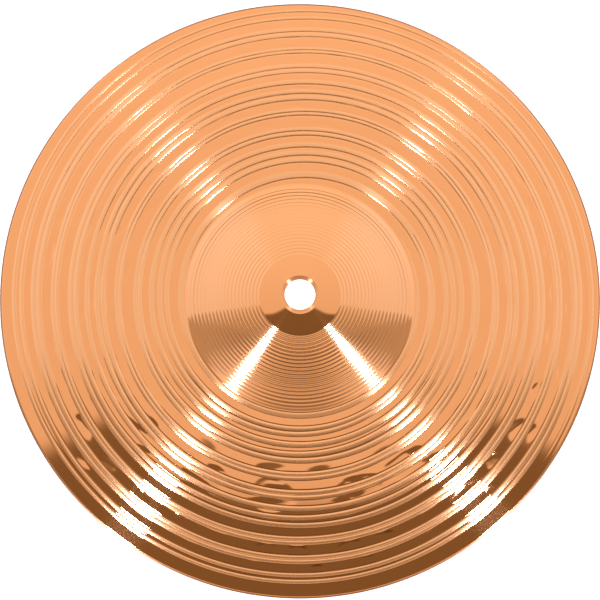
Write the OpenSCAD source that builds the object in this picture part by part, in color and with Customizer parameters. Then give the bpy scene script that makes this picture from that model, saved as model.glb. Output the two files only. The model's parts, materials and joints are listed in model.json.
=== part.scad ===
// Ten-inch splash cymbal: one thin disc of bronze, hammered and turned on a lathe.
// +Z is up, along the axis and out of the top of the bell.
// The origin is on the axis, in the plane that the rim rests on.

/* [Plate] */
// Diameter over the rim
plate_d = 254; // [248:1:260]
// Height from the rim plane to the top of the bell
plate_h = 18; // [16:0.5:20]
// Thickness of the bronze at the rim
rim_t = 0.5; // [0.4:0.05:0.7]
// Thickness of the bronze at the crown of the bell
crown_t = 1; // [0.9:0.1:1.2]

/* [Bow] */
// Radius at which the flat inner bow turns down into the steeper outer bow
shoulder_r = 94; // [88:1:98]
// Width of that turn
shoulder_w = 8; // [4:1:12]
// Fall of the outer bow, in millimetres for each millimetre outwards
outer_fall = 0.125; // [0.1:0.005:0.14]
// Fall of the inner bow where it reaches the shoulder
inner_fall = 0.06; // [0.04:0.005:0.08]

/* [Bell] */
// Diameter at which the bell meets the bow
bell_d = 97; // [96:0.5:100]
// Radius of the hollow curve at the foot of the bell
foot_r = 3; // [2:0.5:4]

/* [Centre hole] */
// Diameter of the hole
hole_d = 13; // [12:0.5:14]
// Width of the rounded lip around the hole
lip_w = 1.6; // [1:0.1:2]
// Drop of the lip from the crown to the edge of the hole
lip_drop = 0.4; // [0.2:0.05:0.5]

/* [Turned grooves on the bell] */
// Number of grooves
groove_count = 21; // [10:1:21]
// Distance from one groove to the next, along the radius
groove_pitch = 1.5; // [1:0.1:1.5]
// Radius of the first groove
groove_start_r = 16; // [14:0.5:16.5]
// Width of each groove
groove_w = 0.8; // [0.4:0.1:0.9]
// Depth of each groove
groove_depth = 0.06; // [0.02:0.01:0.1]

/* [Raised rings on the bow] */
// Height of the rings above the bow
ring_h = 0.08; // [0.02:0.01:0.12]
// Width of the sloping flank on each side of a ring
ring_flank = 0.25; // [0.1:0.05:0.35]

/* [Hidden] */
$fn = 180;

rim_r = plate_d / 2;
bell_r = bell_d / 2;
hole_r = hole_d / 2;
lip_r = hole_r + lip_w;
bronze = [0.84, 0.52, 0.30];

// Each ring left standing by the lathe: its middle radius and its width, for a plate 254 mm across.
rings = [
    [56.8, 2.0], [59.6, 1.8], [63.6, 2.2], [67.6, 2.0], [70.4, 2.0],
    [76.8, 3.0], [83.6, 1.6], [86.2, 1.6], [90.6, 2.2], [94.6, 2.0],
    [97.6, 2.0], [104.0, 3.2], [112.0, 3.2], [118.4, 1.8], [121.4, 1.6]
];
ring_scale = plate_d / 254;

// How finely the arcs are divided
lip_step = 18;     // degrees
foot_steps = 6;
crown_steps = 4;
under_step = 6;    // millimetres along the radius

// The bow is a cone outside the shoulder, a shallow arc that is level at the axis inside it,
// and turns evenly from one to the other across the shoulder.
turn_in = shoulder_r - shoulder_w / 2;
turn_out = shoulder_r + shoulder_w / 2;
turn_bend = (outer_fall - inner_fall) / shoulder_w;
bow_radius = turn_in / inner_fall;
function outer_bow_z(r) = rim_t + outer_fall * (rim_r - r);
function turn_z(r) = outer_bow_z(turn_out) + outer_fall * (turn_out - r) - turn_bend * (turn_out - r) ^ 2 / 2;
bow_c = turn_z(turn_in) - sqrt(bow_radius ^ 2 - turn_in ^ 2);
function inner_bow_z(r) = bow_c + sqrt(bow_radius ^ 2 - r ^ 2);
function bow_z(r) = r > turn_out ? outer_bow_z(r) : r > turn_in ? turn_z(r) : inner_bow_z(r);

// The bell is an arc, centred on the axis, from the lip of the hole to the bow.
bell_top = [lip_r, plate_h];
bell_foot = [bell_r, bow_z(bell_r)];
bell_c = (bell_top * bell_top - bell_foot * bell_foot) / (2 * (bell_top.y - bell_foot.y));
bell_radius = norm(bell_top - [0, bell_c]);
function bell_z(r) = bell_c + sqrt(bell_radius ^ 2 - r ^ 2);

// The foot is a hollow arc that touches both: its centre is one radius outside each of them.
bow_reach = bow_radius + foot_r;
bell_reach = bell_radius + foot_r;
foot_z = (bow_reach ^ 2 - bell_reach ^ 2 - bow_c ^ 2 + bell_c ^ 2) / (2 * (bell_c - bow_c));
foot_c = [sqrt(bell_reach ^ 2 - (foot_z - bell_c) ^ 2), foot_z];
foot_in = [0, bell_c] + (foot_c - [0, bell_c]) * bell_radius / bell_reach;
foot_out = [0, bow_c] + (foot_c - [0, bow_c]) * bow_radius / bow_reach;
function foot_arc_z(r) = foot_c.y - sqrt(foot_r ^ 2 - (foot_c.x - r) ^ 2);

// Height of the top side at radius r, before it is turned
function top_z(r) = r < foot_in.x ? bell_z(r) : r < foot_out.x ? foot_arc_z(r) : bow_z(r);
// The bronze gets thinner from the crown to the rim.
function thickness(r) = crown_t + (rim_t - crown_t) * min(1, r / rim_r);
function under_z(r) = top_z(r) - thickness(r);

// Rounded lip, from the edge of the hole up to the crown
lip = [
    for (a = [0 : lip_step : 90])
        [hole_r + lip_w * (1 - cos(a)), plate_h - lip_drop * (1 - sin(a))]
];

crown = [
    for (i = [1 : crown_steps])
        let (r = lip_r + (groove_start_r - groove_w - lip_r) * i / crown_steps)
            [r, bell_z(r)]
];

grooves = [
    for (i = [0 : groove_count - 1])
        let (r = groove_start_r + i * groove_pitch)
            for (side = [-1, 0, 1])
                [r + side * groove_w / 2, bell_z(r + side * groove_w / 2) - (side == 0 ? groove_depth : 0)]
];

foot = [
    for (i = [0 : foot_steps])
        let (r = foot_in.x + (foot_out.x - foot_in.x) * i / foot_steps)
            [r, foot_arc_z(r)]
];

ring_points = [
    for (ring = rings)
        let (mid = ring[0] * ring_scale, half = ring[1] / 2)
            each [
                [mid - half - ring_flank, bow_z(mid - half - ring_flank)],
                [mid - half, bow_z(mid - half) + ring_h],
                [mid + half, bow_z(mid + half) + ring_h],
                [mid + half + ring_flank, bow_z(mid + half + ring_flank)]
            ]
];

// The rim is rounded over half its thickness.
rim = [
    for (a = [60 : -30 : -60])
        [rim_r - (1 - cos(a)) * rim_t / 2, rim_t / 2 + sin(a) * rim_t / 2]
];

// The underside follows the top at the thickness of the bronze and has no turning marks.
rim_in = rim_r - rim_t;
under = [
    for (r = [rim_in - under_step : -under_step : foot_out.x + 1]) [r, under_z(r)],
    for (i = [foot_steps : -1 : 0]) let (p = foot[i]) [p.x, p.y - thickness(p.x)],
    for (r = [foot_in.x - under_step : -under_step : hole_r + 1]) [r, under_z(r)]
];
hole_edge = [hole_r, under_z(hole_r)];

module cymbal() {
    color(bronze)
        rotate_extrude()
            polygon(concat(lip, crown, grooves, foot, ring_points, rim, [[rim_in, 0]], under, [hole_edge]));
}

cymbal();
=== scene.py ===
import json
import math
import random

import bmesh
import bpy
import numpy as np
from mathutils import Matrix, Vector


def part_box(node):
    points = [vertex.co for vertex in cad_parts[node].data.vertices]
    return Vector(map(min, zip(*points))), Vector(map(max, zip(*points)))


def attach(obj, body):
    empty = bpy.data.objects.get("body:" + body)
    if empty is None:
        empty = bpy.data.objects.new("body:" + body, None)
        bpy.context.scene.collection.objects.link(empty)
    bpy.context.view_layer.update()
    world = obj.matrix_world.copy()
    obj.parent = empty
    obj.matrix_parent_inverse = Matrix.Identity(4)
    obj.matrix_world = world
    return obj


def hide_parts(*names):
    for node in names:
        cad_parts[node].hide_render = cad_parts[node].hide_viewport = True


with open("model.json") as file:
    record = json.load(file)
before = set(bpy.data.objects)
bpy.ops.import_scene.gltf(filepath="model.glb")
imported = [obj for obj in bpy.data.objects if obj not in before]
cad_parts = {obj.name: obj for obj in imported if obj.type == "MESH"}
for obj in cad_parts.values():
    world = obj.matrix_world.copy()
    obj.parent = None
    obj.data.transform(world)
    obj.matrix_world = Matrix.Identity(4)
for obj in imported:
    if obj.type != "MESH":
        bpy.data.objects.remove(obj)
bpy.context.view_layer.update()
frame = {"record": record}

# ---------------------------------------------------------------------------
# Sizes, in millimetres. The rim, the height and the hole come from the frame.
# ---------------------------------------------------------------------------
MM = 0.001
low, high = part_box("cymbal")
RIM_R = min(-low.x, high.x, -low.y, high.y) / MM
PLATE_H = high.z / MM
hole = next(m for m in frame["record"]["mounts"] if m["name"] == "centre_hole")
HOLE_R = hole["dims"]["r_mm"]

RIM_T = 0.5          # thickness of the bronze at the rim
CROWN_T = 1.0        # and at the crown of the bell
LIP_W = 1.6          # width of the flat lip around the hole
LIP_STEP = 0.06      # how far the lip lies below the crown
BELL_R = 48.5        # where the bell meets the bow
FOOT_R = 3.0         # hollow curve at the foot of the bell
TURN_IN = 90.0       # the bow turns down from here
TURN_OUT = 98.0      # to here
INNER_FALL = 0.06    # slope of the bow where the turn starts
OUTER_FALL = 0.125   # slope of the bow outside the turn
LIP_ROUND = 0.2      # radius of the hole's rounded edge
RIM_ROUND = 0.6      # how far in from the rim its rounding starts

LIP_R = HOLE_R + LIP_W
RIM_IN = RIM_R - RIM_ROUND

# ---------------------------------------------------------------------------
# The plain shape: height of the top and the underside at any radius
# ---------------------------------------------------------------------------
TURN_BEND = (OUTER_FALL - INNER_FALL) / (TURN_OUT - TURN_IN)
BOW_RADIUS = TURN_IN / INNER_FALL


def outer_bow(r):
    return RIM_T + OUTER_FALL * (RIM_R - r)


def turn(r):
    return outer_bow(TURN_OUT) + OUTER_FALL * (TURN_OUT - r) - TURN_BEND * (TURN_OUT - r) ** 2 / 2


BOW_CENTRE = turn(TURN_IN) - math.sqrt(BOW_RADIUS**2 - TURN_IN**2)


def bow(r):
    """Height of the bow: level at the axis, bending gently out to the turn, then a cone to the rim."""
    inner = BOW_CENTRE + np.sqrt(BOW_RADIUS**2 - np.minimum(r, TURN_IN) ** 2)
    return np.where(r > TURN_OUT, outer_bow(r), np.where(r > TURN_IN, turn(r), inner))


def axis_arc(inner, outer):
    """Centre height and radius of the arc, centred on the axis, through two points (r, z)."""
    (r0, z0), (r1, z1) = inner, outer
    centre = (r0**2 + z0**2 - r1**2 - z1**2) / (2 * (z0 - z1))
    return centre, math.hypot(r0, z0 - centre)


BELL_CENTRE, BELL_RADIUS = axis_arc((LIP_R, PLATE_H), (BELL_R, float(bow(BELL_R))))

# The foot is a hollow arc that touches the bell and the bow.
BOW_REACH = BOW_RADIUS + FOOT_R
BELL_REACH = BELL_RADIUS + FOOT_R
FOOT_Z = (BOW_REACH**2 - BELL_REACH**2 - BOW_CENTRE**2 + BELL_CENTRE**2) / (2 * (BELL_CENTRE - BOW_CENTRE))
FOOT_C = math.sqrt(BELL_REACH**2 - (FOOT_Z - BELL_CENTRE) ** 2)
FOOT_IN = FOOT_C * BELL_RADIUS / BELL_REACH
FOOT_OUT = FOOT_C * BOW_RADIUS / BOW_REACH


def top_height(r):
    """Height of the plain top side, before it is hammered and turned."""
    bell = BELL_CENTRE + np.sqrt(np.maximum(BELL_RADIUS**2 - r**2, 0))
    foot = FOOT_Z - np.sqrt(np.maximum(FOOT_R**2 - (FOOT_C - r) ** 2, 0))
    return np.where(r < FOOT_IN, bell, np.where(r < FOOT_OUT, foot, bow(r)))


def thickness(r):
    return CROWN_T + (RIM_T - CROWN_T) * np.minimum(1, r / RIM_R)


def under_height(r):
    return top_height(r) - thickness(r)


# ---------------------------------------------------------------------------
# Soft steps and bands
# ---------------------------------------------------------------------------
def smooth(x):
    """0 below 0, 1 above 1, and a soft step between."""
    x = np.clip(x, 0, 1)
    return x * x * (3 - 2 * x)


def fade_in(r, start, width):
    """0 up to start, then rising softly to 1 over this width."""
    return smooth((r - start) / width)


def fade_out(r, end, width):
    """Falling softly from 1 over this width, to 0 from end on."""
    return smooth((end - r) / width)


def band(r, start, end):
    """1 inside a band. start and end are each a radius and the width of the soft step inside it."""
    return fade_in(r, *start) * fade_out(r, *end)


BOW_BAND = (FOOT_OUT - 0.2, 0.5), (RIM_R, 2.5)                # the ribs
GROOVE_BAND = (17.2, 0.8), (47.6, 1.5)                        # the bell's grooves
UNDER_BAND = (HOLE_R + 2, 2), (RIM_R - 4, 2)                  # the rings of the underside
GROOVE_LOOK = (16.8, 0.8), (48.2, 0.6)                        # the finish of the grooved bell
FOOT_LOOK = (GROOVE_BAND[1][0], 0.4), (FOOT_OUT + 0.3, 0.4)   # the finish between the grooves and the bow


# ---------------------------------------------------------------------------
# The turning: ribs that the lathe leaves standing, winding inwards
# ---------------------------------------------------------------------------
PITCH = 7.4                    # the ribs come this much closer to the axis in each turn
OFF_CENTRE = (0.93, -0.13)     # the lathe runs this far off the plate's axis
TURN_START = math.radians(30)  # each turn of the winding is counted from here
DRIFT = (math.radians(150), math.radians(390))  # the ribs change from start to end between these angles

# Each rib's inner and outer edge where a turn starts, from the innermost out
RIB_STARTS = [
    (53.2, 56.3), (59.9, 62.0), (62.9, 65.2), (66.4, 68.7), (71.5, 73.3),
    (73.4, 75.2), (80.2, 81.6), (81.7, 83.2), (86.8, 88.9), (89.6, 91.6),
    (93.7, 95.8), (98.6, 100.5), (100.8, 102.8), (107.2, 108.6), (108.6, 110.0),
    (114.4, 116.4), (116.7, 118.6), (122.1, 123.4), (125.3, 126.5), (129.3, 130.6),
]
# A turn ends where another rib starts its own. The innermost runs into the bell, the next two into one rib.
RIB_ENDS = [(53.5, 57.2), (60.6, 62.15), (62.15, 63.7)]
RIB_ENDS += [(inner + PITCH, outer + PITCH) for inner, outer in RIB_STARTS[1:-2]]
# The outermost comes up out of the rim between these angles.
LAST_RISE = (math.radians(325), math.radians(350))
RIB_H = 0.09       # height of a rib
RIB_FLANK = 0.55   # width of its steep inner side
RIB_TOP = 0.35     # share of its width that is level, before it falls away to its outer edge
RIB_EDGE = 0.15    # width over which the finish changes at its edges
CUT_DEPTH = 0.045  # the tool's cut along its inner edge
CUT_HALF = 0.4     # half the width of that cut
CUT_AWAY = CUT_HALF / 3   # from the rib's inner edge to the middle of the cut


def rib_tracks(r, angle):
    """For each rib, how far each point is outside its inner edge and inside its outer edge,
    and the share of its full height that the rib has there."""
    wound = np.where(angle < TURN_START, angle + math.tau, angle)
    off_centre = OFF_CENTRE[0] * np.cos(angle) + OFF_CENTRE[1] * np.sin(angle)
    along = r - off_centre + PITCH * wound / math.tau
    change = fade_in(wound, DRIFT[0], DRIFT[1] - DRIFT[0])
    risen = fade_in(wound, LAST_RISE[0], LAST_RISE[1] - LAST_RISE[0])
    for start, end in zip(RIB_STARTS, RIB_ENDS):
        inner = start[0] + (end[0] - start[0]) * change
        outer = start[1] + (end[1] - start[1]) * change
        yield along - inner, outer - along, risen if start == RIB_STARTS[-1] else 1.0


def rib_share(r, angle):
    """Where the ribs are: 1 over the whole width of a rib, 0 on the plain bow."""
    share = np.zeros_like(r)
    for outside, inside, strength in rib_tracks(r, angle):
        rib = smooth(outside / RIB_EDGE) * smooth(inside / RIB_EDGE)
        share = np.maximum(share, rib * strength)
    return share * band(r, *BOW_BAND)


def rib_height(r, angle):
    """Height of the ribs, less the cut beside each. A rib is steep inside and falls away outwards."""
    height = np.zeros_like(r)
    for outside, inside, strength in rib_tracks(r, angle):
        width = outside + inside
        slope = np.clip((outside / width - RIB_TOP) / (1 - RIB_TOP), 0, 1) ** 2
        rib = RIB_H * smooth(outside / RIB_FLANK) * (1 - slope) * (inside > 0)
        cut = CUT_DEPTH * np.maximum(1 - ((outside + CUT_AWAY) / CUT_HALF) ** 2, 0) ** 2
        height += strength * (rib - cut)
    return height * band(r, *BOW_BAND)


# The bell's grooves, close together and even
GROOVE_PITCH = 1.52
GROOVE_DEPTH = 0.10


def groove_depth(r):
    """How deep the bell's grooves are at each radius."""
    wave = 0.5 - 0.5 * np.cos(math.tau * (r - GROOVE_BAND[0][0]) / GROOVE_PITCH)
    return GROOVE_DEPTH * wave * band(r, *GROOVE_BAND)


UNDER_PITCH = 3.0   # from one turned ring of the underside to the next
UNDER_DEPTH = 0.05  # how deep the tool cuts between them


def under_cut(r):
    """How deep the underside is turned between its rings."""
    wave = 0.5 - 0.5 * np.cos(math.tau * (r - HOLE_R) / UNDER_PITCH)
    return UNDER_DEPTH * wave * band(r, *UNDER_BAND)


# ---------------------------------------------------------------------------
# The hammering: rows of shallow marks
# ---------------------------------------------------------------------------
# Each row's radius, number of marks, their length along the row, width across it and depth,
# how much less the floor falls outwards than the plain bow, and how sharp the step around it is
HAMMER_ROWS = [
    (65.0, 16, 9.0, 5.0, 0.03, 0.0, 2.2),
    (73.5, 16, 11.0, 5.0, 0.04, -0.03, 2.2),
    (80.5, 17, 8.0, 4.0, 0.02, -0.05, 2.2),
    (84.5, 17, 21.0, 12.0, 0.07, -0.005, 6.0),
    (87.5, 17, 11.0, 4.5, 0.02, -0.05, 2.2),
    (94.0, 17, 10.0, 5.0, 0.04, 0.03, 2.2),
    (107.5, 36, 9.0, 5.5, 0.06, 0.035, 2.2),
    (114.5, 26, 6.0, 4.0, 0.03, 0.03, 2.2),
]
HAMMER_START = math.radians(10)
STRAY_ALONG = 0.2         # how far a mark strays along its row, as a share of the way to the next
STRAY_ACROSS = 0.8        # and across the row, in millimetres
MARK_TURN = 0.25          # how far it is turned, in radians
BITE_SHARE = (0.5, 1.15)  # least and most of the row's depth that it has,
SIZE_SHARE = (0.8, 1.15)  # of the row's length and width,
TIP_SHARE = (0.6, 1.2)    # and of the row's tip
LOBES = (2, 3, 5)         # waves round its outline
LOBE_SIZE = 0.12          # the most that each of them may add
MARK_END = 4              # its square distance from the middle, in half sizes, where it has faded away
TURNED_OFF = 0.9          # share of a mark's depth that is turned off where a rib crosses it


def hammer_marks():
    """Each mark: its row's radius, its angle and radius, turn, size, outline, depth, tip and sharpness."""
    chance = random.Random(7)
    for row, count, along, across, deep, tip, sharp in HAMMER_ROWS:
        for i in range(count):
            at = HAMMER_START + math.tau * (i + chance.uniform(-STRAY_ALONG, STRAY_ALONG)) / count
            mid = row + chance.uniform(-STRAY_ACROSS, STRAY_ACROSS)
            bite = deep * chance.uniform(*BITE_SHARE)
            turned = chance.uniform(-MARK_TURN, MARK_TURN)
            size = along * chance.uniform(*SIZE_SHARE), across * chance.uniform(*SIZE_SHARE)
            lobes = [(chance.uniform(0, LOBE_SIZE), chance.uniform(0, math.tau), n) for n in LOBES]
            yield row, at, mid, turned, size, lobes, bite, tip * chance.uniform(*TIP_SHARE), sharp


def hammer_depth(r, angle):
    """How deep the hammer marks are at each point. Each has a flat floor and a soft uneven step around it."""
    depth = np.zeros_like(r)
    for row, at, mid, turned, (length, width), lobes, bite, tip, sharp in hammer_marks():
        around = ((angle - at + math.pi) % math.tau - math.pi) * row
        outwards = r - mid
        u = (around * math.cos(turned) + outwards * math.sin(turned)) / length * 2
        v = (outwards * math.cos(turned) - around * math.sin(turned)) / width * 2
        way = np.arctan2(v, u)
        uneven = 1 + sum(lobe * np.cos(n * way + start) for lobe, start, n in lobes)
        away = np.minimum((u**2 + v**2) * uneven, MARK_END)
        depth += (bite - tip * outwards) * np.exp(-away**sharp)
    return depth


# ---------------------------------------------------------------------------
# The finished top
# ---------------------------------------------------------------------------
CONE_W = 4.5       # beside the lip the crown is more of a cone,
CONE_DROP = 0.065  # and this much lower than the bell's arc
CONE_BACK = 8.0    # which it meets again over this distance


def crown_drop(r):
    """How far the crown lies below the bell's arc."""
    x = np.clip((r - LIP_R) / CONE_W, 0, 1)
    return CONE_DROP * x * (2 - x) * (1 - fade_in(r, LIP_R + CONE_W, CONE_BACK))


def relief(r, angle):
    """How far the finished top stands above the plain shape."""
    hammered = hammer_depth(r, angle) * (1 - TURNED_OFF * rib_share(r, angle))
    return rib_height(r, angle) - groove_depth(r) - hammered - crown_drop(r)


NORMAL_STEP = 0.05


def top_normals(r, angle):
    """Which way the finished top faces at each point."""
    def height(x, y):
        far = np.hypot(x, y)
        return top_height(far) + relief(far, np.arctan2(y, x) % math.tau)
    x, y = r * np.cos(angle), r * np.sin(angle)
    fall_x = (height(x - NORMAL_STEP, y) - height(x + NORMAL_STEP, y)) / (2 * NORMAL_STEP)
    fall_y = (height(x, y - NORMAL_STEP) - height(x, y + NORMAL_STEP)) / (2 * NORMAL_STEP)
    facing = np.stack([fall_x, fall_y, np.ones_like(r)], axis=1)
    return facing / np.linalg.norm(facing, axis=1)[:, None]


# ---------------------------------------------------------------------------
# The finish: what the material is told about each point of the top
# ---------------------------------------------------------------------------
BELL_MARKS = 0.3    # how strong the tool's marks are on the bell
BELL_SATIN = 0.5    # how satin the bell is
LIP_SATIN = (LIP_R + 0.1, 0.2)   # the lip's satin ends here, over this width
EDGE_MARGIN = 0.1   # the darker, rougher edges, whose brown is painted shade, reach this far past the roundings,
EDGE_FADE = 0.3     # and have ended over this width


def edge_share(r):
    """1 on the rounded edges of the rim and the hole, which are rougher and painted darker as shade."""
    rim = fade_in(r, RIM_R - RIM_ROUND - EDGE_MARGIN, EDGE_FADE)
    return np.maximum(rim, fade_out(r, HOLE_R + LIP_ROUND + EDGE_MARGIN, EDGE_FADE))


def worked_share(r, angle):
    """How strong the tool's fine marks are: 1 on the ribs, less on the grooved bell, 0 on the plain bow."""
    return np.maximum(rib_share(r, angle), BELL_MARKS * band(r, *GROOVE_LOOK))


def satin_share(r, angle):
    """How satin the metal is: 1 on the ribs, lip and edges, less on the bell, 0 where it is polished."""
    bell = BELL_SATIN * np.maximum(band(r, *GROOVE_LOOK), band(r, *FOOT_LOOK))
    return np.maximum.reduce([rib_share(r, angle), bell, fade_out(r, *LIP_SATIN), edge_share(r)])


# ---------------------------------------------------------------------------
# Outlines: points (r, z) in millimetres
# ---------------------------------------------------------------------------
ARC_STEP = 15       # degrees from row to row round an edge
BELL_ROW = 0.25     # from row to row on the bell,
FOOT_ROW = 0.1      # over its foot,
BOW_ROW = 0.2       # on the bow
UNDER_ROW = 0.5     # and on the underside
FOOT_ROWS_IN, FOOT_ROWS_OUT = FOOT_IN - 0.3, FOOT_OUT + 0.3   # where the foot's rows begin and end
BOW_CUTS = [53.2, 78.0, 102.0]   # where one skin of the top ends and the next begins
LIP_FLANK = 0.3     # width of the slope from the lip up to the crown
WALL_END = 0.1      # from the last row of the hole's wall to its rounding
UNDER_END = 1.0     # width of the underside's last row, which comes down to the rim's plane


def radii(start, end, step):
    """Radii from start to end, about one step apart."""
    count = max(1, round(abs(end - start) / step))
    return [start + (end - start) * i / count for i in range(count + 1)]


def lip_profile():
    """The hole's wall, its rounded edge and the flat lip, from the underside up to the crown."""
    edge = PLATE_H - LIP_STEP
    wall = [(HOLE_R, float(under_height(HOLE_R))), (HOLE_R, edge - LIP_ROUND - WALL_END)]
    turns = [math.radians(a) for a in range(0, 91, ARC_STEP)]
    rounded = [(HOLE_R + LIP_ROUND * (1 - math.cos(a)), edge - LIP_ROUND * (1 - math.sin(a))) for a in turns]
    return wall + rounded + [(LIP_R - LIP_FLANK, edge), (LIP_R, PLATE_H)]


def rim_profile():
    """The rounded rim, from its top round to its underside."""
    half = RIM_T / 2
    turns = [math.radians(a) for a in range(90, -91, -ARC_STEP)]
    return [(RIM_R - RIM_ROUND * (1 - math.cos(a)), half + half * math.sin(a)) for a in turns]


def top_profile(start, end, step):
    """The plain top from one radius to another."""
    return [(r, float(top_height(r))) for r in radii(start, end, step)]


def bell_profile():
    """From the lip over the bell and its foot to the first cut of the bow."""
    bell = top_profile(LIP_R, FOOT_ROWS_IN, BELL_ROW)[1:-1]
    foot = top_profile(FOOT_ROWS_IN, FOOT_ROWS_OUT, FOOT_ROW)[:-1]
    return bell + foot + top_profile(FOOT_ROWS_OUT, BOW_CUTS[0], BOW_ROW)


def under_profile():
    """The turned underside, from the hole to where the rim's rounding ends."""
    rows = radii(HOLE_R, RIM_IN - UNDER_END, UNDER_ROW)
    return [(r, float(under_height(r) + under_cut(r))) for r in rows] + [(RIM_IN, 0)]


# ---------------------------------------------------------------------------
# Skins: an outline is spun round the axis, then the relief is worked into it
# ---------------------------------------------------------------------------
SLICES = 24   # an outline is spun through one slice of the round, and the slice is repeated
# Steps of each skin round the axis, in whole slices
BELL_STEPS = 480
BOW_STEPS = 720
UNDER_STEPS = 384
WELD = 0.001      # points this close are one
AT_CUT = 0.02     # rows this close to a cut lie on it


def spun_mesh(name, outline, steps, upwards):
    """A mesh of revolution from an outline, in millimetres, that faces up or down."""
    bm = bmesh.new()
    verts = [bm.verts.new((r, 0, z)) for r, z in outline]
    edges = [bm.edges.new(pair) for pair in zip(verts, verts[1:])]
    part = math.tau / SLICES
    about = {"cent": (0, 0, 0), "axis": (0, 0, 1)}
    bmesh.ops.spin(bm, geom=verts + edges, angle=part, steps=steps // SLICES, **about)
    first = bm.verts[:] + bm.edges[:] + bm.faces[:]
    bmesh.ops.spin(bm, geom=first, angle=math.tau - part, steps=SLICES - 1, use_duplicate=True, **about)
    bmesh.ops.remove_doubles(bm, verts=bm.verts, dist=WELD)
    bm.normal_update()
    facing = sum(f.normal.z * f.calc_area() for f in bm.faces)
    if (facing > 0) != upwards:
        bmesh.ops.reverse_faces(bm, faces=bm.faces)
    mesh = bpy.data.meshes.new(name)
    bm.to_mesh(mesh)
    bm.free()
    return mesh


def join_normals(mesh, r, angle, cuts):
    """Keeps the mesh's normals, but at the cuts takes the finished top's, so that no join shows."""
    normals = np.zeros(len(r) * 3)
    mesh.vertex_normals.foreach_get("vector", normals)
    normals = normals.reshape(-1, 3)
    at_cut = np.zeros(len(r), bool)
    for cut in cuts:
        at_cut |= np.abs(r - cut) < AT_CUT
    normals[at_cut] = top_normals(r[at_cut], angle[at_cut])
    mesh.normals_split_custom_set_from_vertices(normals.tolist())


def link(name, data):
    """A new object in the scene that holds this data."""
    made = bpy.data.objects.new(name, data)
    bpy.context.scene.collection.objects.link(made)
    return made


def skin(name, outline, steps, top=True):
    """A finished skin. One of the top has the relief and its finish; the underside is satin all over."""
    mesh = spun_mesh(name, outline, steps, upwards=top)
    co = np.zeros(len(mesh.vertices) * 3)
    mesh.vertices.foreach_get("co", co)
    co = co.reshape(-1, 3)
    r = np.hypot(co[:, 0], co[:, 1])
    angle = np.arctan2(co[:, 1], co[:, 0]) % math.tau
    finish = {"worked": np.zeros(len(r)), "satin": np.ones(len(r)), "edge": np.zeros(len(r))}
    if top:
        co[:, 2] += relief(r, angle)
        finish = {"worked": worked_share(r, angle), "satin": satin_share(r, angle), "edge": edge_share(r)}
    mesh.vertices.foreach_set("co", (co * MM).ravel())
    for share, values in finish.items():
        mesh.attributes.new(share, "FLOAT", "POINT").data.foreach_set("value", values)
    mesh.shade_smooth()
    mesh.update()
    join_normals(mesh, r, angle, BOW_CUTS if top else [])
    return link(name, mesh)


# ---------------------------------------------------------------------------
# Node helpers
# ---------------------------------------------------------------------------
def set_inputs(node, inputs):
    """Sets inputs, given by name or number, to a value or to another node's output."""
    for socket, value in inputs.items():
        if isinstance(value, bpy.types.NodeSocket):
            node.id_data.links.new(value, node.inputs[socket])
        else:
            node.inputs[socket].default_value = value


def math_node(tree, operation, a, b):
    node = tree.nodes.new("ShaderNodeMath")
    node.operation = operation
    set_inputs(node, {0: a, 1: b})
    return node.outputs[0]


def vector_node(tree, operation, inputs):
    node = tree.nodes.new("ShaderNodeVectorMath")
    node.operation = operation
    set_inputs(node, inputs)
    return node


def attribute(tree, name):
    node = tree.nodes.new("ShaderNodeAttribute")
    node.attribute_name = name
    return node.outputs["Fac"]


def mix(tree, share, colour, other, how="MIX"):
    """The colour with this share of the other one. Either a colour's three values or a node's output."""
    node = tree.nodes.new("ShaderNodeMix")
    node.data_type = "RGBA"
    node.blend_type = how
    first, second = [(*c, 1) if isinstance(c, tuple) else c for c in (colour, other)]
    set_inputs(node, {"Factor": share, 6: first, 7: second})
    return node.outputs[2]


def new_material(name):
    """A new material, its node tree and its shader."""
    material = bpy.data.materials.new(name)
    material.use_nodes = True
    return material, material.node_tree, material.node_tree.nodes["Principled BSDF"]


# ---------------------------------------------------------------------------
# Bronze
# ---------------------------------------------------------------------------
POLISHED = (1.0, 0.415, 0.162)   # the plain metal
TURNED = (1.0, 0.465, 0.205)     # paler where the tool has cut it last
WORN = (0.86, 0.34, 0.125)       # a shade darker in soft patches
EDGE_PAINTED_SHADE = (0.35, 0.12, 0.04)    # painted shade: brown on the rounded edges of the rim and the hole, for the dark line they show
WORN_SHARE = 0.25                # and an edge, for its painted shade
EDGE_SHADE_SHARE = 0.75                # and an edge
PATCH_SCALE, PATCH_DETAIL = 45, 4
MARK_SCALE = 1200                # fine tool marks to the metre
MARK_HEIGHT = 0.000008           # their height in metres
MARK_LEAST = 0.02                # share of it that is left on the polished metal
ROUGH_POLISHED = 0.035
ROUGH_SATIN = 0.135              # added where the metal is satin
ROUGH_EDGE = 0.2                 # and added on the edges


def tool_marks(tree, away, worked):
    """The normal of fine marks that run round the axis, by the distance away from it."""
    noise = tree.nodes.new("ShaderNodeTexNoise")
    noise.noise_dimensions = "1D"
    set_inputs(noise, {"Scale": MARK_SCALE, "Detail": 0, "W": away})
    amount = math_node(tree, "ADD", math_node(tree, "MULTIPLY", worked, 1 - MARK_LEAST), MARK_LEAST)
    height = math_node(tree, "MULTIPLY", noise.outputs["Fac"], amount)
    bump = tree.nodes.new("ShaderNodeBump")
    set_inputs(bump, {"Strength": 1.0, "Distance": MARK_HEIGHT, "Height": height})
    return bump.outputs["Normal"]


def roughness(tree, satin, edge):
    rough = math_node(tree, "ADD", math_node(tree, "MULTIPLY", satin, ROUGH_SATIN), ROUGH_POLISHED)
    return math_node(tree, "ADD", rough, math_node(tree, "MULTIPLY", edge, ROUGH_EDGE))


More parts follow.
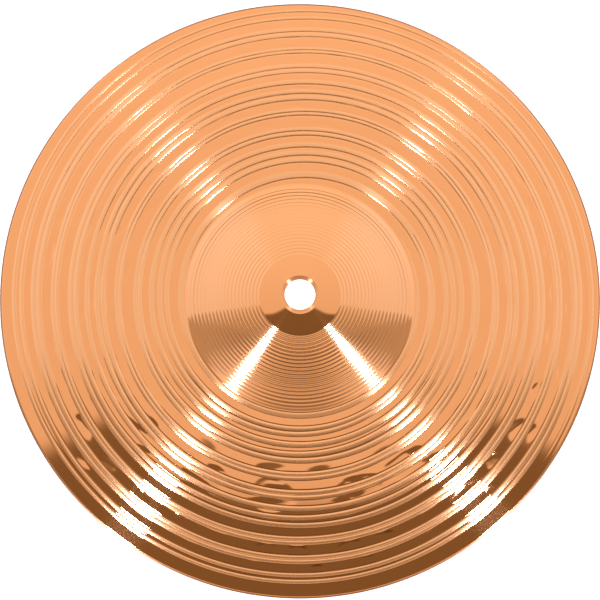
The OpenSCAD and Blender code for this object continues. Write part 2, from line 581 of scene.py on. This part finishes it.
def bronze_colour(tree, place, worked, edge):
    patches = tree.nodes.new("ShaderNodeTexNoise")
    set_inputs(patches, {"Scale": PATCH_SCALE, "Detail": PATCH_DETAIL, "Vector": place})
    colour = mix(tree, worked, POLISHED, TURNED)
    colour = mix(tree, math_node(tree, "MULTIPLY", patches.outputs["Fac"], WORN_SHARE), colour, WORN)
    # Painted shade: the rounded edges of the rim and the hole are darkened towards brown.
    return mix(tree, math_node(tree, "MULTIPLY", edge, EDGE_SHADE_SHARE), colour, EDGE_PAINTED_SHADE)


def bronze():
    """Polished cymbal bronze, with fine tool marks running round the worked parts, and painted shade on the
    rounded edges.
    """
    material, tree, shader = new_material("bronze")
    worked, satin, edge = [attribute(tree, name) for name in ("worked", "satin", "edge")]
    place = tree.nodes.new("ShaderNodeTexCoord").outputs["Object"]
    flat = vector_node(tree, "MULTIPLY", {0: place, 1: (1, 1, 0)}).outputs[0]
    away = vector_node(tree, "LENGTH", {0: flat}).outputs["Value"]
    set_inputs(shader, {
        "Base Color": bronze_colour(tree, place, worked, edge),
        "Metallic": 1.0,
        "Roughness": roughness(tree, satin, edge),
        "Normal": tool_marks(tree, away, worked),
        # The marks run round the plate, so they spread the light along the radius.
        "Anisotropic": 1.0,
        "Tangent": vector_node(tree, "NORMALIZE", {0: flat}).outputs[0],
    })
    return material


# ---------------------------------------------------------------------------
# The object
# ---------------------------------------------------------------------------
METAL = bronze()
pieces = [
    skin("bell_top", lip_profile() + bell_profile(), BELL_STEPS),
    skin("inner_bow_top", top_profile(BOW_CUTS[0], BOW_CUTS[1], BOW_ROW), BOW_STEPS),
    skin("middle_bow_top", top_profile(BOW_CUTS[1], BOW_CUTS[2], BOW_ROW), BOW_STEPS),
    skin("outer_bow_top", top_profile(BOW_CUTS[2], RIM_IN, BOW_ROW)[:-1] + rim_profile(), BOW_STEPS),
    skin("underside", under_profile(), UNDER_STEPS, top=False),
]
for piece in pieces:
    piece.data.materials.append(METAL)
    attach(piece, "root")
    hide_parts("cymbal")

# ---------------------------------------------------------------------------
# The stage, in metres
# ---------------------------------------------------------------------------
CAMERA_TILT = math.radians(7.7)    # how far the camera leans from the vertical, towards the front
CAMERA_AWAY = 4.0
SENSOR = 36                        # width of the camera's sensor in millimetres
FLOOR_GREY = (0.55, 0.55, 0.55, 1)
# Each round of the floor: name, radius, height and glow. The small one glows brighter under the hole. It is a
# painted pool of light where the cymbal shades the floor, so the floor looks as pale through the hole.
FLOORS = [("floor", 30.0, 0.0, 0.6), ("floor_painted_light_under_hole", 0.012, 0.0001, 1.2)]

# Each strip light: its side, and where it shows in the plate, in degrees from there, negative to the front
STRIPS = {"left_strip": (-1, -53.2), "right_strip": (1, -49.0)}
STRIP_LEAN = math.radians(30)      # how far it leans from the vertical
STRIP_AWAY = 2.0
STRIP_SIZE = (0.11, 0.85)
STRIP_POWER = 22
STRIP_COLOUR = (0.75, 0.95, 1.45)
# Cosines of the angles from a strip light at which the glow around it begins and is full
HALO = (math.cos(math.radians(20)), math.cos(math.radians(4)))
HALO_COLOUR = (0.22, 0.22, 0.22)

# Colour of the light from the front (-1) over the zenith (0) to the back (1)
SKY = [
    (-1.0, (0.40, 0.38, 0.35)),
    (-0.80, (0.22, 0.20, 0.17)),
    (-0.66, (0.46, 0.44, 0.40)),
    (-0.52, (0.86, 0.82, 0.76)),
    (-0.37, (0.78, 0.74, 0.68)),
    (-0.29, (0.10, 0.08, 0.05)),
    (-0.20, (0.12, 0.10, 0.06)),
    (-0.16, (0.22, 0.18, 0.11)),
    (-0.015, (0.22, 0.18, 0.11)),
    (0.0, (0.87, 0.86, 0.84)),
    (0.13, (0.97, 1.00, 0.99)),
    (0.26, (1.05, 1.12, 1.20)),
    (0.38, (1.18, 1.25, 1.36)),
    (1.0, (1.17, 1.23, 1.32)),
]
# What changes it towards the sides (x, the same on both) and low down (z): from, fully at, colour, how
SKY_CHANGES = [
    ("X", 0.3, 0.6, (0.50, 0.44, 0.34), "LIGHTEN"),
    ("X", 0.28, 0.42, (1.08, 1.18, 1.40), "MULTIPLY"),
    ("Z", 0.5, 0.3, (0.32, 0.27, 0.20), "MIX"),
    ("Z", 0.10, 0.02, (1.0, 1.0, 1.0), "MIX"),
]


def stage_disc(name, radius, height, glow):
    """A flat round of the pale floor; glow is how much light of its own it gives."""
    bm = bmesh.new()
    bmesh.ops.create_circle(bm, cap_ends=True, segments=64, radius=radius)
    bmesh.ops.translate(bm, vec=(0, 0, height), verts=bm.verts)
    mesh = bpy.data.meshes.new(name)
    bm.to_mesh(mesh)
    bm.free()
    material, tree, shader = new_material(name)
    set_inputs(shader, {
        "Base Color": FLOOR_GREY,
        "Roughness": 1.0,
        "Specular IOR Level": 0.0,
        "Emission Color": (1, 1, 1, 1),
        "Emission Strength": glow,
    })
    mesh.materials.append(material)
    link(name, mesh)


def camera():
    """Looks at the rim's middle, from nearly straight above, with the plate as wide as the picture."""
    made = link("camera", bpy.data.cameras.new("camera"))
    back = Vector((0, -math.sin(CAMERA_TILT), math.cos(CAMERA_TILT)))
    made.location = Vector((0, 0, RIM_T * MM)) + back * CAMERA_AWAY
    made.rotation_mode = "QUATERNION"
    made.rotation_quaternion = (-back).to_track_quat("-Z", "Y")
    made.data.lens = SENSOR * CAMERA_AWAY / (2 * RIM_R * MM)
    made.data.clip_end = 100
    bpy.context.scene.camera = made


def strip_way(side, azimuth):
    """Direction of a strip light and the way its long side runs.
    Seen in the plate from the camera, such a strip lies along one radius."""
    turned = math.radians(azimuth)
    outward = Vector((math.cos(turned), math.sin(turned), 0))
    across = Vector((-math.sin(turned), math.cos(turned), 0))
    up = Vector((0, 0, 1))
    offset = math.sin(CAMERA_TILT) * math.cos(turned)
    flat = math.sqrt(1 - offset**2)
    way = across * offset + (up * math.cos(STRIP_LEAN) + outward * math.sin(STRIP_LEAN)) * flat
    run = outward * math.cos(STRIP_LEAN) - up * math.sin(STRIP_LEAN)
    mirrored = Vector((side, 1, 1))
    return way * mirrored, run * mirrored


def strip_light(name, side, azimuth):
    """A long softbox, to the left or right of the front, with its long side towards the plate."""
    data = bpy.data.lights.new(name, "AREA")
    data.shape = "RECTANGLE"
    data.size, data.size_y = STRIP_SIZE
    data.energy = STRIP_POWER
    data.color = STRIP_COLOUR
    made = link(name, data)
    way, run = strip_way(side, azimuth)
    turned = Matrix((run.cross(way), run, way)).transposed()
    made.rotation_euler = turned.to_euler()
    made.location = way * STRIP_AWAY
    made.visible_camera = False


def span(tree, source, start, end, step="SMOOTHSTEP"):
    """0 where the source is at start, 1 where it is at end."""
    node = tree.nodes.new("ShaderNodeMapRange")
    node.interpolation_type = step
    rising = int(start < end)
    set_inputs(node, {
        "Value": source,
        "From Min": min(start, end),
        "From Max": max(start, end),
        "To Min": 1 - rising,
        "To Max": rising,
    })
    return node.outputs["Result"]


def sky_ramp(tree, place):
    """The colours of SKY, looked up by a place from -1 to 1."""
    ramp = tree.nodes.new("ShaderNodeValToRGB")
    set_inputs(ramp, {"Fac": span(tree, place, -1, 1, "LINEAR")})
    elements = ramp.color_ramp.elements
    for i, (y, colour) in enumerate(SKY):
        element = elements[i] if i < 2 else elements.new(0.5)
        element.position = (y + 1) / 2
        element.color = (*colour, 1)
    return ramp.outputs["Color"]


def halo(tree, sideways, ahead, up):
    """1 around a strip light. Both lights take the right one's place, with left mirrored onto right."""
    front = tree.nodes.new("ShaderNodeCombineXYZ")
    set_inputs(front, {"X": sideways, "Y": ahead, "Z": up})
    strip = strip_way(*STRIPS["right_strip"])[0]
    near = vector_node(tree, "DOT_PRODUCT", {0: front.outputs[0], 1: strip}).outputs["Value"]
    return span(tree, near, *HALO)


def studio():
    """Soft white light from above and behind, a dark gap above the front, and paler light low in front."""
    world = bpy.data.worlds.new("studio")
    bpy.context.scene.world = world
    world.use_nodes = True
    tree = world.node_tree
    way = tree.nodes.new("ShaderNodeTexCoord").outputs["Generated"]
    parts = tree.nodes.new("ShaderNodeSeparateXYZ")
    set_inputs(parts, {0: way})
    mirrored = tree.nodes.new("ShaderNodeSeparateXYZ")
    set_inputs(mirrored, {0: vector_node(tree, "ABSOLUTE", {0: way}).outputs[0]})
    follows = {"X": mirrored.outputs["X"], "Z": parts.outputs["Z"]}
    sky = sky_ramp(tree, parts.outputs["Y"])
    sky = mix(tree, halo(tree, follows["X"], parts.outputs["Y"], follows["Z"]), sky, HALO_COLOUR, "ADD")
    for axis, start, end, colour, how in SKY_CHANGES:
        sky = mix(tree, span(tree, follows[axis], start, end), sky, colour, how)
    set_inputs(tree.nodes["Background"], {"Color": sky, "Strength": 1.0})


for floor in FLOORS:
    stage_disc(*floor)
camera()
studio()
for name, (side, azimuth) in STRIPS.items():
    strip_light(name, side, azimuth)
bpy.context.scene.view_settings.view_transform = "Standard"
